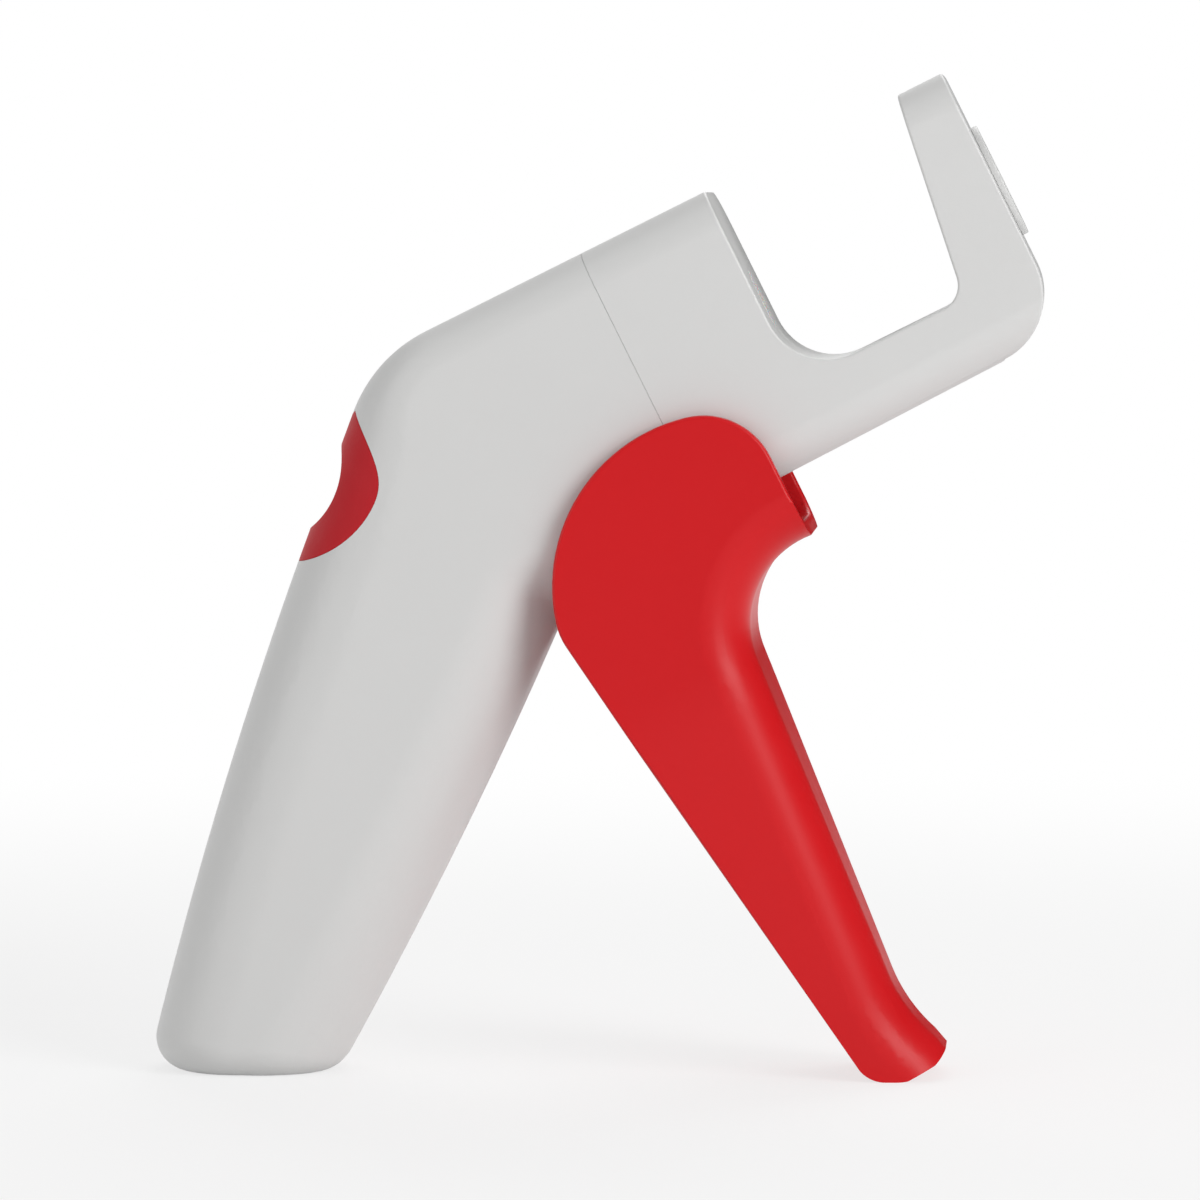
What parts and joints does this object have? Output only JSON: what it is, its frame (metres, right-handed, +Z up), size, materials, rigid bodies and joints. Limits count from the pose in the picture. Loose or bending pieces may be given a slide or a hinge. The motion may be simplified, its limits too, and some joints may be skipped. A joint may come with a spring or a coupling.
{
  "type": "cherry pitter",
  "caption": "Hand-held cherry pitter with an elbow handle, an open fruit cradle and a squeeze lever that drives a pitting rod.",
  "frame": {"origin": "on the floor under the middle of the outline, with the part standing on the handle's base and the lever's tip", "axes": "+X forward from handle to nose, +Y across, +Z up; the head's rod axis rises 26.5 degrees towards +X"},
  "size_m": [0.1332, 0.038, 0.1495],
  "materials": {
    "white_shell": "satin moulded",
    "red_lever": "satin moulded",
    "red_pad": "matte moulded",
    "grey_nylon": "moulded",
    "natural_acetal": "moulded",
    "clear_seal": "moulded",
    "steel": "polished",
    "spring_steel": "drawn"
  },
  "bodies": {
    "casing": {"body_shell": "white_shell", "thumb_pad": "red_pad", "bottom_cap": "white_shell", "nose_cradle": "white_shell", "exit_ring": "white_shell", "carriage_guide": "grey_nylon", "rod_bush": "natural_acetal", "rod_seal": "clear_seal", "rod_bumper": "clear_seal", "pivot_pin": "steel"},
    "lever": {"lever": "red_lever", "drive_fork": "grey_nylon", "fork_screws": "steel", "pivot_bushings": "natural_acetal", "spring_sleeve": "natural_acetal", "return_spring": "spring_steel"},
    "plunger": {"plunger_carriage": "natural_acetal", "pitting_rod": "steel", "drive_pin": "steel", "drive_rollers": "natural_acetal"}
  },
  "joints": [
    {"name": "lever_squeeze", "type": "hinge", "parent": "casing", "child": "lever", "pos_m": [0.01641, 0, 0.0746], "axis": [0, 1, 0], "range_deg": [0, 52], "stiffness_Nm_per_rad": 0.15, "springref_deg": -12, "deforming": ["return_spring"]},
    {"name": "rod_stroke", "type": "slide", "parent": "casing", "child": "plunger", "axis": [0.8949, 0, 0.4462], "range_m": [0, 0.03273]}
  ],
  "couplings": [
    {"joint": "rod_stroke", "follows": "lever_squeeze", "m_per_rad": 0.036006}
  ]
}
